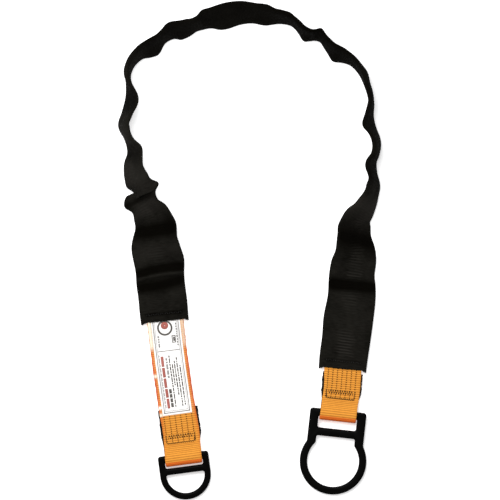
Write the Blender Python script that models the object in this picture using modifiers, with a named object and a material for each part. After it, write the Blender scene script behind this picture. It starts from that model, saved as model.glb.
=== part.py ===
"""Anchor strap: a webbing strap in a loose wear sleeve, with a D-ring and a pass-through ring.

The strap lies on a surface (z = 0) in an upturned U. Both ends lie flat. Round the crown the
strap stands on its edge and leans outwards. Each end of the orange webbing loops round the
top bar of a ring over a black wear pad and is sewn back on itself, so each ring swings freely
about its top bar. Metres, +Z up, origin at the middle of the bounding box's bottom.
"""

import math

import bmesh
import bpy
from mathutils import Matrix, Vector

MM = 0.001
GAP = 0.3 * MM                      # clearance kept between pieces that touch

# Webbing, pads and sleeve
WEBBING_WIDTH = 44.5 * MM
WEBBING_THICK = 2.0 * MM
PAD_WIDTH_IN_SLOT = 43.2 * MM       # the pad is gathered where it passes the ring's slot
PAD_WIDTH_SEWN = 48.5 * MM
PAD_THICK = 1.6 * MM
PAD_SKEW = {"small": -1.2 * MM, "large": 1.2 * MM}   # where sewn; + is towards the inner edge
PAD_LENGTH_SMALL = 60.0 * MM        # from the bar's axis to the pad's sewn end
PAD_LENGTH_LARGE = 50.0 * MM
TAIL_LENGTH = 110.0 * MM            # webbing sewn back under the strap, from the bar's axis
SLEEVE_WIDTH = 57.6 * MM            # lying flat
SLEEVE_THICK = 7.2 * MM             # flattened tube, both walls and the webbing in it
SLEEVE_WALL = 0.9 * MM
SLEEVE_START = 167.5 * MM           # route distance of the mouth beside the label
SLEEVE_END_TO_BAR = 55.0 * MM       # the other mouth, from the large ring's bar
MOUTH_THICK_SMALL = 9.0 * MM        # the mouths stand open over the label and the sewn end
MOUTH_THICK_LARGE = 11.6 * MM
STATION_STEP = 9.5 * MM

# Rings: flat plates, seen in their own plane with the top bar's axis along X through the origin
PLATE_THICK = 8.0 * MM
PLATE_ROUNDING = 2.1 * MM
BAR_HALF = 4.2 * MM                 # half the top bar's height in the plate's plane
PAD_BEND = 6.2 * MM                 # radius of the pad's mid surface round the bar
LAYER_STEP = (PAD_THICK + WEBBING_THICK) / 2 + GAP
WEBBING_BEND = PAD_BEND + LAYER_STEP
BAR_HEIGHT = WEBBING_BEND + WEBBING_THICK / 2

SMALL_WIDTH = 62.0 * MM
SMALL_SLOT = (46.0 * MM, -11.7 * MM)        # width, lower edge
SMALL_CROSSBAR_LOW = -19.5 * MM
SMALL_ARC_CENTRE = -21.0 * MM
SMALL_HOLE_RADIUS = 23.3 * MM

LARGE_WIDTH = 69.0 * MM
LARGE_SLOT = (47.0 * MM, -19.0 * MM)
LARGE_CROSSBAR_LOW = -28.8 * MM
LARGE_ARC_CENTRE = -58.4 * MM
LARGE_RADIUS = 40.7 * MM
LARGE_HOLE_RADIUS = 31.5 * MM
NECK_WIDTH = 47.0 * MM

# Sewn end: where the loop closes, and the stitch pattern on its front
KNEE_CENTRE = 17.5 * MM
KNEE_RADIUS = 6.5 * MM
PAST_KNEE = KNEE_CENTRE + 3 * MM
PAD_SPREADS = (14.0 * MM, 28.0 * MM)        # where a pad widens from the slot to its sewn width
TAIL_CLIMB = 1.5 * MM                       # how far the tail rises onto the sleeve's wall
TAIL_CLIMBS = (26.0 * MM, 50.0 * MM)
PAD_STEP = 14.0 * MM                        # length over which a layer comes down past an edge
TAIL_STEP_FREE = 16.0 * MM
TAIL_STEP_INSIDE = 25.0 * MM
RISE_TO_SLEEVE = 140.0 * MM                 # where the labelled end starts to rise to the sleeve
BOX_NEAR, BOX_FAR = 18.5 * MM, 30.0 * MM
BOX_HALF_WIDTH = 17.5 * MM
ZIGZAG_POINTS = 9
ROW_COUNT = 6
ROW_HALF_WIDTH = 15.0 * MM
ROW_START = 32.0 * MM
ROW_END = 49.5 * MM
THREAD_RADIUS = 0.45 * MM

LABEL_WIDTH = 36.0 * MM
LABEL_THICK = 0.35 * MM
LABEL_FROM, LABEL_TO = 52.8 * MM, 188.0 * MM
FILM_WIDTH = 41.0 * MM
FILM_THICK = 0.3 * MM
FILM_FROM = 51.5 * MM

LABEL_LIFT = WEBBING_THICK / 2 + GAP + LABEL_THICK / 2      # above the webbing's mid surface
FILM_LIFT = LABEL_LIFT + LABEL_THICK / 2 + GAP + FILM_THICK / 2

TACK_HALF_WIDTH = 20.0 * MM
TACK_WAVE = 1.2 * MM
TACK_FROM_MOUTH = 9.0 * MM

CENTRE_SHIFT = Vector((0.6 * MM, 1.0 * MM))     # puts the bounding box's centre on the origin

# The strap's middle line, from the small ring's bar to the large ring's: x and y in mm, and
# the lean in degrees. 0 lies flat with the front up, 90 stands on edge with the inner edge
# up, and more than 90 leans outwards over the crown.
ROUTE = [
    (-81, -253, 0), (-89, -193, 0), (-97, -137, 0), (-103, -87, 0), (-109, -31, 1),
    (-112, -9, 8), (-114, 12, 20), (-115, 29, 32), (-119, 45, 44), (-126, 59, 52),
    (-131, 73, 59), (-137, 87, 64), (-140, 101, 70), (-140, 118, 75), (-147, 137, 86),
    (-153, 151, 81), (-149, 165, 80), (-144, 183, 79), (-147, 203, 89), (-148, 214, 93),
    (-144, 227, 97), (-133, 240, 102), (-119, 249, 105), (-105, 259, 101), (-92, 267, 107),
    (-77, 270, 108), (-63, 275, 103), (-47, 283, 110), (-29, 286, 117), (-11, 289, 115),
    (6, 289, 110), (23, 287, 110), (40, 283, 102), (54, 277, 97), (65, 267, 97),
    (78, 261, 96), (90, 255, 98), (100, 245, 101), (113, 237, 104), (127, 229, 98),
    (138, 216, 94), (144, 201, 90), (148, 184, 89), (146, 158, 81), (154, 132, 86),
    (153, 117, 86), (149, 104, 82), (151, 83, 81), (146, 64, 72), (138, 50, 62),
    (130, 37, 54), (128, 18, 43), (129, -2, 32), (128, -18, 20), (125, -36, 8),
    (124, -60, 0), (120, -92, 0), (114, -138, 0), (111, -172, 0), (108, -200, 0),
]


# ---------------------------------------------------------------- the strap's route

def catmull_rom(a, b, c, d, t):
    """Point between b and c on a smooth curve through a, b, c and d."""
    return 0.5 * (2 * b + (c - a) * t + (2 * a - 5 * b + 4 * c - d) * t ** 2
                  + (3 * b - a - 3 * c + d) * t ** 3)


def dense_route(per_span=12):
    """The route as close points: each a vector of x and y in metres and the lean in radians."""
    knots = [Vector((x * MM + CENTRE_SHIFT.x, y * MM + CENTRE_SHIFT.y, math.radians(lean)))
             for x, y, lean in ROUTE]
    knots = [2 * knots[0] - knots[1]] + knots + [2 * knots[-1] - knots[-2]]
    points = []
    for i in range(1, len(knots) - 2):
        for k in range(per_span):
            points.append(catmull_rom(*knots[i - 1:i + 3], k / per_span))
    return points + [knots[-2]]


DENSE = dense_route()
DISTANCE = [0.0]
for before, after in zip(DENSE, DENSE[1:]):
    DISTANCE.append(DISTANCE[-1] + (after.xy - before.xy).length)
ROUTE_LENGTH = DISTANCE[-1]
SLEEVE_STOP = ROUTE_LENGTH - SLEEVE_END_TO_BAR


def smooth_step(value, low, high):
    """0 up to low, 1 from high on, with a smooth rise between them."""
    t = min(max((value - low) / (high - low), 0.0), 1.0)
    return t * t * (3 - 2 * t)


def route_point(s):
    """Position, lean and plan direction of the route at the distance s from its start."""
    i = 0
    while i < len(DENSE) - 2 and DISTANCE[i + 1] < s:
        i += 1
    t = (s - DISTANCE[i]) / (DISTANCE[i + 1] - DISTANCE[i])
    here = DENSE[i].lerp(DENSE[i + 1], t)
    low, high = max(i - 3, 0), min(i + 4, len(DENSE) - 1)
    direction = (DENSE[high].xy - DENSE[low].xy).normalized()
    return here, direction


def sleeve_thickness(s):
    """Thickness of the flattened sleeve, which is more at its two mouths."""
    from_start, from_end = s - SLEEVE_START, SLEEVE_STOP - s
    extra_start = (MOUTH_THICK_SMALL - SLEEVE_THICK) * (1 - smooth_step(from_start, 0, 40 * MM))
    extra_end = (MOUTH_THICK_LARGE - SLEEVE_THICK) * (1 - smooth_step(from_end, 10 * MM, 75 * MM))
    return SLEEVE_THICK + extra_start + extra_end


def frame(s, height=None):
    """Axes at s: along the strap, across it from outer to inner edge, and out of its front."""
    here, direction = route_point(s)
    along = Vector((direction.x, direction.y, 0))
    sideways = along.cross(Vector((0, 0, 1)))
    across = sideways * math.cos(here.z) + Vector((0, 0, math.sin(here.z)))
    thick = sleeve_thickness(s)
    standing = (SLEEVE_WIDTH - thick) / 2 * abs(math.sin(here.z)) + thick / 2
    origin = Vector((here.x, here.y, standing if height is None else height))
    return origin, along, across, across.cross(along)


def strap_distances(start, stop, step=STATION_STEP):
    """Evenly spread distances from start to stop."""
    count = max(1, round(abs(stop - start) / step))
    return [start + (stop - start) * k / count for k in range(count + 1)]


# ---------------------------------------------------------------- the sewn loops

def tail_height(u, enters_sleeve):
    """Mid height of the sewn-back tail, which climbs onto the sleeve's wall if it enters it."""
    lift = TAIL_CLIMB * smooth_step(u, *TAIL_CLIMBS) if enters_sleeve else 0.0
    return WEBBING_THICK / 2 + lift


def front_height(u, s, pad_length, enters_sleeve):
    """Mid height of the front layer at the distance u from the bar, past the loop's knee."""
    on_tail = WEBBING_THICK + GAP
    on_pads = 2 * LAYER_STEP + PAD_THICK + GAP
    height = tail_height(u, enters_sleeve) + on_pads
    height -= (on_pads - on_tail) * smooth_step(u, pad_length, pad_length + PAD_STEP)
    free = WEBBING_THICK / 2 + GAP
    inside = sleeve_thickness(s) / 2
    if enters_sleeve:
        past_tail = smooth_step(u, TAIL_LENGTH, TAIL_LENGTH + TAIL_STEP_INSIDE)
        return height + (inside - height) * past_tail
    height += (free - height) * smooth_step(u, TAIL_LENGTH, TAIL_LENGTH + TAIL_STEP_FREE)
    return height + (inside - height) * smooth_step(u, RISE_TO_SLEEVE, SLEEVE_START - 4 * MM)


def loop_profile(offset, steps=16):
    """Side view of one layer round the bar, as (u, height): bottom, round the bar, top, knee.

    The layer's mid surface runs at PAD_BEND + offset from the bar's axis. It leaves the bar
    on a straight line that is tangent to the bar's circle and to the knee's.
    """
    stack = tail_height(0, False) + LAYER_STEP + PAD_THICK + GAP
    knee = Vector((KNEE_CENTRE, stack + KNEE_RADIUS - BAR_HEIGHT))
    lift_off = math.atan2(knee.y, knee.x) + math.acos((PAD_BEND + KNEE_RADIUS) / knee.length)
    bend, fillet = PAD_BEND + offset, KNEE_RADIUS - offset
    profile = []
    for k in range(steps + 1):
        angle = -math.pi / 2 - (3 * math.pi / 2 - lift_off) * k / steps
        profile.append((bend * math.cos(angle), BAR_HEIGHT + bend * math.sin(angle)))
    for k in range(6):
        angle = lift_off + math.pi + (math.pi / 2 - lift_off) * k / 5
        profile.append((knee.x + fillet * math.cos(angle),
                        BAR_HEIGHT + knee.y + fillet * math.sin(angle)))
    return profile


def row_across(origin, across, width, steps=4):
    """Points across a strip, from its outer edge to its inner edge."""
    return [origin + across * width * (k / steps - 0.5) for k in range(steps + 1)]


def strip_row(end, u, height, width, shift=0.0):
    """A row across a strip at the distance u from the bar of one end of the strap."""
    s = u if end == "small" else ROUTE_LENGTH - u
    inside = min(max(s, 0.0), ROUTE_LENGTH)
    origin, along, across, front = frame(inside, height)
    return row_across(origin + along * (s - inside) + across * shift, across, width)


# ---------------------------------------------------------------- scene and materials

def clear_scene():
    for thing in list(bpy.data.objects):
        bpy.data.objects.remove(thing, do_unlink=True)


def new_collection(name):
    collection = bpy.data.collections.new(name)
    bpy.context.scene.collection.children.link(collection)
    return collection


def material(name, colour, roughness, metallic=0.0, alpha=1.0):
    made = bpy.data.materials.new(name)
    made.use_nodes = True
    shader = made.node_tree.nodes["Principled BSDF"]
    shader.inputs["Base Color"].default_value = (*colour, 1.0)
    shader.inputs["Roughness"].default_value = roughness
    shader.inputs["Metallic"].default_value = metallic
    shader.inputs["Alpha"].default_value = alpha
    made.diffuse_color = (*colour, alpha)
    return made


clear_scene()
STRAP = new_collection("anchor_strap")

ORANGE = material("orange_webbing", (0.80, 0.29, 0.04), 0.85)
BLACK_PAD = material("black_webbing", (0.012, 0.012, 0.012), 0.9)
SLEEVE_CLOTH = material("sleeve_webbing", (0.016, 0.015, 0.013), 0.92)
RING_STEEL = material("black_steel", (0.01, 0.01, 0.01), 0.4, 0.6)
LABEL_SHEET = material("printed_label", (0.85, 0.84, 0.82), 0.5)
CLEAR_FILM = material("clear_film", (0.9, 0.85, 0.75), 0.15, alpha=0.3)
THREAD = material("black_thread", (0.02, 0.015, 0.012), 0.8)


def add_object(name, data, surface):
    """Put new data into the strap's collection as a named object with its material."""
    made = bpy.data.objects.new(name, data)
    STRAP.objects.link(made)
    data.materials.append(surface)
    return made


def smooth_faces(mesh, angle_degrees):
    mesh.shade_smooth()
    mesh.set_sharp_from_angle(angle=math.radians(angle_degrees))


# ---------------------------------------------------------------- strips and the sleeve

def surface_from_rows(name, rows, closed):
    """An open surface lofted through rows of points; closed joins each row's ends as well."""
    made = bmesh.new()
    grid = [[made.verts.new(point) for point in row] for row in rows]
    for row, ahead in zip(grid, grid[1:]):
        for k in range(len(row) if closed else len(row) - 1):
            n = (k + 1) % len(row)
            made.faces.new((row[k], row[n], ahead[n], ahead[k]))
    mesh = bpy.data.meshes.new(name)
    made.to_mesh(mesh)
    made.free()
    return mesh


def solidify(piece, thickness, offset):
    """Thicken an open surface: offset 0 to both sides, -1 to the inside."""
    shell = piece.modifiers.new("thickness", "SOLIDIFY")
    shell.thickness = thickness
    shell.offset = offset
    shell.use_even_offset = True


def add_strip(name, rows, thickness, surface):
    """A strip of webbing, label or film: a surface through its rows, thickened both ways."""
    strip = add_object(name, surface_from_rows(name, rows, closed=False), surface)
    solidify(strip, thickness, 0)
    smooth_faces(strip.data, 40)
    return strip


def make_core_webbing():
    """One length of webbing from its left tail, round both bars, to its right tail."""
    def sewn_end(end, enters):
        profile = [(u, tail_height(u, enters))
                   for u in strap_distances(TAIL_LENGTH, 6 * MM, 8 * MM)]
        profile += loop_profile(LAYER_STEP)
        return [strip_row(end, u, height, WEBBING_WIDTH) for u, height in profile]

    start, stop = PAST_KNEE, ROUTE_LENGTH - PAST_KNEE
    distances = strap_distances(start, SLEEVE_START, 5 * MM)[:-1]
    distances += strap_distances(SLEEVE_START, SLEEVE_STOP)
    distances += strap_distances(SLEEVE_STOP, stop, 5 * MM)[1:]
    middle = []
    for s in distances:
        if s < SLEEVE_START:
            height = front_height(s, s, PAD_LENGTH_SMALL, False)
        elif s > ROUTE_LENGTH - TAIL_LENGTH - TAIL_STEP_INSIDE:
            height = front_height(ROUTE_LENGTH - s, s, PAD_LENGTH_LARGE, True)
        else:
            height = None
        origin, along, across, front = frame(s, height)
        middle.append(row_across(origin, across, WEBBING_WIDTH))
    left = sewn_end("small", False)
    right = sewn_end("large", True)
    return add_strip("core_webbing", left + middle + right[::-1], WEBBING_THICK, ORANGE)


def pad_row(end, u, height):
    """A row across a wear pad, which spreads and strays to one side past the ring's slot."""
    spread = smooth_step(u, *PAD_SPREADS)
    width = PAD_WIDTH_IN_SLOT + (PAD_WIDTH_SEWN - PAD_WIDTH_IN_SLOT) * spread
    return strip_row(end, u, height, width, PAD_SKEW[end] * spread)


def make_wear_pad(name, end, length, enters):
    """The black strip between the ring's bar and the webbing, sewn in between its two layers."""
    under = [(u, tail_height(u, enters) + LAYER_STEP)
             for u in strap_distances(length, 6 * MM, 6 * MM)]
    over = [(u, tail_height(u, enters) + LAYER_STEP + PAD_THICK + GAP)
            for u in strap_distances(PAST_KNEE, length, 6 * MM)]
    profile = under + loop_profile(0.0) + over
    rows = [pad_row(end, u, height) for u, height in profile]
    return add_strip(name, rows, PAD_THICK, BLACK_PAD)


def sleeve_section(s, side_steps=3, flat_steps=4):
    """A flattened tube's outline at s: two flat sides joined by half circles."""
    origin, along, across, front = frame(s)
    thick = sleeve_thickness(s)
    half_flat = (SLEEVE_WIDTH - thick) / 2
    outline = []
    for side in (1, -1):
        for k in range(side_steps + 1):
            angle = math.pi / 2 - math.pi * k / side_steps
            outline.append((side * (half_flat + thick / 2 * math.cos(angle)),
                            side * thick / 2 * math.sin(angle)))
        for k in range(1, flat_steps):
            outline.append((side * half_flat * (1 - 2 * k / flat_steps), -side * thick / 2))
    return [origin + across * x + front * z for x, z in outline]


def make_wear_sleeve():
    """The loose tubular sleeve, open at both mouths."""
    rows = [sleeve_section(s) for s in strap_distances(SLEEVE_START, SLEEVE_STOP)]
    mesh = surface_from_rows("wear_sleeve", rows, closed=True)
    sleeve = add_object("wear_sleeve", mesh, SLEEVE_CLOTH)
    solidify(sleeve, SLEEVE_WALL, -1)
    smooth_faces(mesh, 40)
    return sleeve


def make_label_strip(name, start, stop, width, lift, thickness, surface):
    """A strip that follows the front of the webbing at the small ring's end."""
    rows = []
    for s in strap_distances(start, stop, 5 * MM):
        if s < SLEEVE_START:
            height = front_height(s, s, PAD_LENGTH_SMALL, False)
        else:
            height = sleeve_thickness(s) / 2
        rows.append(strip_row("small", s, height + lift, width))
    return add_strip(name, rows, thickness, surface)


# ---------------------------------------------------------------- rings

def arc(centre, radius, start, stop, steps):
    """Points of an arc about (0, centre), with its angles in degrees."""
    points = []
    for k in range(steps + 1):
        angle = math.radians(start + (stop - start) * k / steps)
        points.append((radius * math.cos(angle), centre + radius * math.sin(angle)))
    return points


def rounded(corners, steps=4):
    """An outline through corners given as (x, y, radius), each corner rounded by its radius."""
    outline = []
    for i, (x, y, radius) in enumerate(corners):
        here = Vector((x, y))
        if radius == 0:
            outline.append((x, y))
            continue
        back = (Vector(corners[i - 1][:2]) - here).normalized()
        ahead = (Vector(corners[(i + 1) % len(corners)][:2]) - here).normalized()
        half = back.angle(ahead) / 2
        centre = here + (back + ahead).normalized() * radius / math.sin(half)
        first = here + back * radius / math.tan(half) - centre
        turn = first.angle_signed(here + ahead * radius / math.tan(half) - centre)
        for k in range(steps + 1):
            outline.append(tuple(centre + Matrix.Rotation(-turn * k / steps, 2) @ first))
    return outline


def neck_to_circle(half_width, radius, fillet, steps=4):
    """Fillet from a straight neck at x = half_width into a circle about the large ring's centre.

    Returns its points from the neck to the circle, and the circle's angle at its end.
    """
    x = half_width + fillet
    y = LARGE_ARC_CENTRE + math.sqrt((radius + fillet) ** 2 - x ** 2)
    end = math.atan2(LARGE_ARC_CENTRE - y, -x)
    points = []
    for k in range(steps + 1):
        angle = -math.pi + (end + math.pi) * k / steps
        points.append((x + fillet * math.cos(angle), y + fillet * math.sin(angle)))
    return points, math.degrees(end + math.pi)


def mirrored(points):
    """The same points on the other side of the ring, in reverse order."""
    return [(-x, y) for x, y in reversed(points)]


def small_ring_outlines():
    half = SMALL_WIDTH / 2
    outer = rounded([(half, BAR_HALF, 3.2 * MM), (-half, BAR_HALF, 3.2 * MM),
                     (-half, SMALL_ARC_CENTRE, 0), (half, SMALL_ARC_CENTRE, 0)])
    outer = outer[:-2] + arc(SMALL_ARC_CENTRE, half, 180, 360, 24)
    slot_half, slot_low = SMALL_SLOT[0] / 2, SMALL_SLOT[1]
    slot = rounded([(slot_half, -BAR_HALF, 1.5 * MM), (-slot_half, -BAR_HALF, 1.5 * MM),
                    (-slot_half, slot_low, 2.2 * MM), (slot_half, slot_low, 2.2 * MM)], 3)
    bow = rounded([(SMALL_HOLE_RADIUS, SMALL_CROSSBAR_LOW, 2.5 * MM),
                   (-SMALL_HOLE_RADIUS, SMALL_CROSSBAR_LOW, 2.5 * MM),
                   (-SMALL_HOLE_RADIUS, SMALL_ARC_CENTRE - 3 * MM, 0),
                   (SMALL_HOLE_RADIUS, SMALL_ARC_CENTRE - 3 * MM, 0)], 3)
    dip = math.degrees(math.asin(3 * MM / SMALL_HOLE_RADIUS))
    bow = bow[:-2] + arc(SMALL_ARC_CENTRE, SMALL_HOLE_RADIUS, 180 + dip, 360 - dip, 18)
    return [outer, slot, bow]


def large_ring_outlines():
    half = LARGE_WIDTH / 2
    shoulder, start = neck_to_circle(half, LARGE_RADIUS, 6 * MM)
    outer = rounded([(half, BAR_HALF, 3.7 * MM), (-half, BAR_HALF, 3.7 * MM),
                     (-half, -20 * MM, 0), (half, -20 * MM, 0)])[:-2]
    outer += mirrored(shoulder)[::-1][:-1]
    outer += arc(LARGE_ARC_CENTRE, LARGE_RADIUS, 180 - start, 360 + start, 36)
    outer += shoulder[::-1][1:]
    slot_half, slot_low = LARGE_SLOT[0] / 2, LARGE_SLOT[1]
    slot = rounded([(slot_half, -BAR_HALF, 2.5 * MM), (-slot_half, -BAR_HALF, 2.5 * MM),
                    (-slot_half, slot_low, 2.5 * MM), (slot_half, slot_low, 2.5 * MM)], 3)
    neck, turn = neck_to_circle(NECK_WIDTH / 2, LARGE_HOLE_RADIUS, 3 * MM)
    hole = rounded([(NECK_WIDTH / 2, LARGE_CROSSBAR_LOW, 2.2 * MM),
                    (-NECK_WIDTH / 2, LARGE_CROSSBAR_LOW, 2.2 * MM),
                    (-NECK_WIDTH / 2, -33 * MM, 0), (NECK_WIDTH / 2, -33 * MM, 0)], 3)[:-2]
    hole += mirrored(neck)[::-1][:-1]
    hole += arc(LARGE_ARC_CENTRE, LARGE_HOLE_RADIUS, 180 - turn, 360 + turn, 30)
    hole += neck[::-1][1:]
    return [outer, slot, hole]


def make_ring(name, outlines, end, reach):
    """A flat ring plate on its bar's axis, tipped so that its far end rests on the surface."""
    curve = bpy.data.curves.new(name, "CURVE")
    curve.dimensions = "2D"
    curve.fill_mode = "BOTH"
    curve.extrude = PLATE_THICK / 2
    for outline in outlines:
        spline = curve.splines.new("POLY")
        spline.points.add(len(outline) - 1)
        for point, (x, y) in zip(spline.points, outline):
            point.co = (x, y, 0, 1)
        spline.use_cyclic_u = True
    ring = add_object(name, curve, RING_STEEL)
    weld = ring.modifiers.new("weld", "WELD")
    weld.merge_threshold = 0.00005
    edges = ring.modifiers.new("rounded_edges", "BEVEL")
    edges.width = PLATE_ROUNDING
    edges.segments = 2
    edges.limit_method = "ANGLE"
    edges.angle_limit = math.radians(60)
    edges.use_clamp_overlap = False
    edges.loop_slide = False
    s = 0.0 if end == "small" else ROUTE_LENGTH
    origin, along, across, front = frame(s, BAR_HEIGHT)
    heading = math.atan2(along.y, along.x) - math.pi / 2
    if end == "large":
        heading += math.pi
    ring.location = origin
    ring.rotation_euler = (math.asin((BAR_HEIGHT - PLATE_THICK / 2) / reach), 0, heading)
    return ring


# ---------------------------------------------------------------- threads

def add_thread(name, points):
    """One length of thread as a thin round tube through the points."""
    curve = bpy.data.curves.new(name, "CURVE")
    curve.dimensions = "3D"
    curve.bevel_depth = THREAD_RADIUS
    curve.bevel_resolution = 1
    curve.use_fill_caps = True
    spline = curve.splines.new("POLY")
    spline.points.add(len(points) - 1)
    for point, place in zip(spline.points, points):
        point.co = (*place, 1)
    return add_object(name, curve, THREAD)


def end_stitch_pattern():
    """The thread's path on a sewn end as (u, across): rows, then a box with a zigzag in it."""
    path = []
    for row in range(ROW_COUNT):
        across = ROW_HALF_WIDTH * (2 * row / (ROW_COUNT - 1) - 1)
        ends = (ROW_END, ROW_START) if row % 2 == 0 else (ROW_START, ROW_END)
        path += [(ends[0], across), (ends[1], across)]
    path += [(ROW_END, BOX_HALF_WIDTH), (BOX_NEAR, BOX_HALF_WIDTH),
             (BOX_NEAR, -BOX_HALF_WIDTH), (BOX_FAR, -BOX_HALF_WIDTH)]
    for k in range(ZIGZAG_POINTS):
        across = ROW_HALF_WIDTH * (2 * k / (ZIGZAG_POINTS - 1) - 1)
        path.append((BOX_FAR if k % 2 else BOX_NEAR + 3 * MM, across))
    return path


def make_end_stitching(name, end, pad_length, enters):
    points = []
    lift = WEBBING_THICK / 2 + GAP + THREAD_RADIUS
    for u, across in end_stitch_pattern():
        s = u if end == "small" else ROUTE_LENGTH - u
        height = front_height(u, s, pad_length, enters) + lift
        points.append(strip_row(end, u, height, 2 * across)[-1])
    return add_thread(name, points)


def make_sleeve_tack(name, s):
    """A short zigzag of thread across the sleeve's front, close to one mouth."""
    origin, along, across, front = frame(s)
    lift = sleeve_thickness(s) / 2 + 2 * GAP + THREAD_RADIUS
    points = []
    for k in range(ZIGZAG_POINTS):
        side = TACK_HALF_WIDTH * (2 * k / (ZIGZAG_POINTS - 1) - 1)
        wave = TACK_WAVE * (-1) ** k
        points.append(origin + across * side + along * wave + front * lift)
    return add_thread(name, points)


# ---------------------------------------------------------------- assembly

make_core_webbing()
make_wear_pad("wear_pad_small_ring", "small", PAD_LENGTH_SMALL, False)
make_wear_pad("wear_pad_large_ring", "large", PAD_LENGTH_LARGE, True)
make_wear_sleeve()
make_label_strip("printed_label", LABEL_FROM, LABEL_TO, LABEL_WIDTH,
                 LABEL_LIFT, LABEL_THICK, LABEL_SHEET)
make_label_strip("label_cover_film", FILM_FROM, LABEL_TO, FILM_WIDTH,
                 FILM_LIFT, FILM_THICK, CLEAR_FILM)

make_ring("small_d_ring", small_ring_outlines(), "small",
          SMALL_WIDTH / 2 - SMALL_ARC_CENTRE)
make_ring("large_pass_ring", large_ring_outlines(), "large",
          LARGE_RADIUS - LARGE_ARC_CENTRE)

make_end_stitching("end_stitching_small_ring", "small", PAD_LENGTH_SMALL, False)
make_end_stitching("end_stitching_large_ring", "large", PAD_LENGTH_LARGE, True)
make_sleeve_tack("sleeve_tack_small_ring", SLEEVE_START + TACK_FROM_MOUTH)
make_sleeve_tack("sleeve_tack_large_ring", SLEEVE_STOP - TACK_FROM_MOUTH)
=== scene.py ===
"""Anchor strap: its visible surfaces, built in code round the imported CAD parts.

The route of the strap, the sewn ends and the rings' outlines repeat the CAD parts' numbers, so
each surface lies where its solid does. The sleeve's folds, bulges and pleat are added to that,
and next to the rings the webbing and the pads lie 1 to 2 mm to one side. Lengths are in metres.
"""

import math
from collections import namedtuple

import bmesh
import bpy
import numpy as np
from mathutils import Matrix, Vector


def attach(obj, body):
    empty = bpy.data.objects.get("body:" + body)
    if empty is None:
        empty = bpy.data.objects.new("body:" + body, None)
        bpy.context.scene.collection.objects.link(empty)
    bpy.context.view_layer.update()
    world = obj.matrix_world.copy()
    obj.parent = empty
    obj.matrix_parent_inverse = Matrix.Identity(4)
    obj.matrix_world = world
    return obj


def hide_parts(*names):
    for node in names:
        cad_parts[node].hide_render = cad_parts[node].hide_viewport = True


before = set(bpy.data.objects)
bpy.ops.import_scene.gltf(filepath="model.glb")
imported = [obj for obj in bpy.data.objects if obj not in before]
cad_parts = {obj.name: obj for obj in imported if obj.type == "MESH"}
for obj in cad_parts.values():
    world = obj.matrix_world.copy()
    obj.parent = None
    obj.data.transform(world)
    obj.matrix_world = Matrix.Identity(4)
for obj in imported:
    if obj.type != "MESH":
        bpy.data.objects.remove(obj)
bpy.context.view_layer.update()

MM = 0.001
GAP = 0.3 * MM

# Webbing, pads and sleeve
WEBBING_WIDTH = 44.5 * MM
WEBBING_THICK = 2.0 * MM
PAD_WIDTH_IN_SLOT = 44.4 * MM
PAD_WIDTH_SEWN = 48.5 * MM
PAD_THICK = 1.6 * MM
PAD_SKEW = {"small": 1.1 * MM, "large": -0.8 * MM}
PAD_LENGTH = {"small": 60.0 * MM, "large": 50.0 * MM}
TAIL_LENGTH = 110.0 * MM
SLEEVE_WIDTH = 57.6 * MM
SLEEVE_THICK = 7.2 * MM
SLEEVE_WALL = 0.9 * MM
SLEEVE_START = 167.5 * MM
SLEEVE_END_TO_BAR = 55.0 * MM
MOUTH_THICK_SMALL = 9.0 * MM
MOUTH_THICK_LARGE = 11.6 * MM

# Sewn ends
PLATE_THICK = 8.0 * MM
PLATE_ROUNDING = 2.1 * MM
BAR_HALF = 4.2 * MM
PAD_BEND = 6.2 * MM
LAYER_STEP = (PAD_THICK + WEBBING_THICK) / 2 + GAP
BAR_HEIGHT = PAD_BEND + LAYER_STEP + WEBBING_THICK / 2
KNEE_CENTRE = 17.5 * MM
KNEE_RADIUS = 6.5 * MM
PAST_KNEE = KNEE_CENTRE + 3 * MM
PAD_SPREADS = (14.0 * MM, 28.0 * MM)
TAIL_CLIMB = 1.5 * MM
TAIL_CLIMBS = (26.0 * MM, 50.0 * MM)
PAD_STEP = 14.0 * MM
TAIL_STEP_FREE = 16.0 * MM
TAIL_STEP_INSIDE = 25.0 * MM
RISE_TO_SLEEVE = 140.0 * MM
LOOP_FROM = 6.0 * MM
LOOP_STEPS = 40
# How far the webbing lies to one side next to each ring, most at SIDE_AT from the bar.
SIDE_SHIFT = {"small": 1.5 * MM, "large": -1.2 * MM}
SIDE_AT, SIDE_HALF = 32 * MM, 22 * MM

# Label and film
LABEL_WIDTH = 36.0 * MM
LABEL_THICK = 0.35 * MM
LABEL_FROM, LABEL_TO = 52.8 * MM, 188.0 * MM
FILM_WIDTH = 43.4 * MM
FILM_THICK = 0.3 * MM
FILM_FROM = 51.5 * MM
LABEL_LIFT = WEBBING_THICK / 2 + GAP + LABEL_THICK / 2
FILM_LIFT = LABEL_LIFT + LABEL_THICK / 2 + GAP + FILM_THICK / 2
PRINT_THICK = 0.06 * MM
PRINT_LIFT = LABEL_LIFT + LABEL_THICK / 2 + PRINT_THICK

# Weave
WEBBING_RIB = 2.7 * MM
WEBBING_YARN = 0.9 * MM
WEBBING_RELIEF = 0.18 * MM
PAD_RELIEF = 0.08 * MM
SLEEVE_RIB = 3.5 * MM
SLEEVE_FINE_RIB = 1.15 * MM
SLEEVE_YARN = 1.3 * MM
SLEEVE_RELIEF = 0.28 * MM

# How far apart the rows of points lie: close where the webbing shows and a little way into the
# sleeve's mouths, wider where it is hidden. The first of the sleeve's columns lies just off its
# inner edge.
CLOSE_STEP = 0.5 * MM
HIDDEN_STEP = 4.0 * MM
LABEL_STEP = 1.0 * MM
PRINT_STEP = 2.0 * MM
PLEAT_STEP = 0.35 * MM
CLOSE_PAST_MOUTH = 12 * MM
SLEEVE_COLUMNS = 40
SLEEVE_FIRST_ANGLE = 0.05

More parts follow.
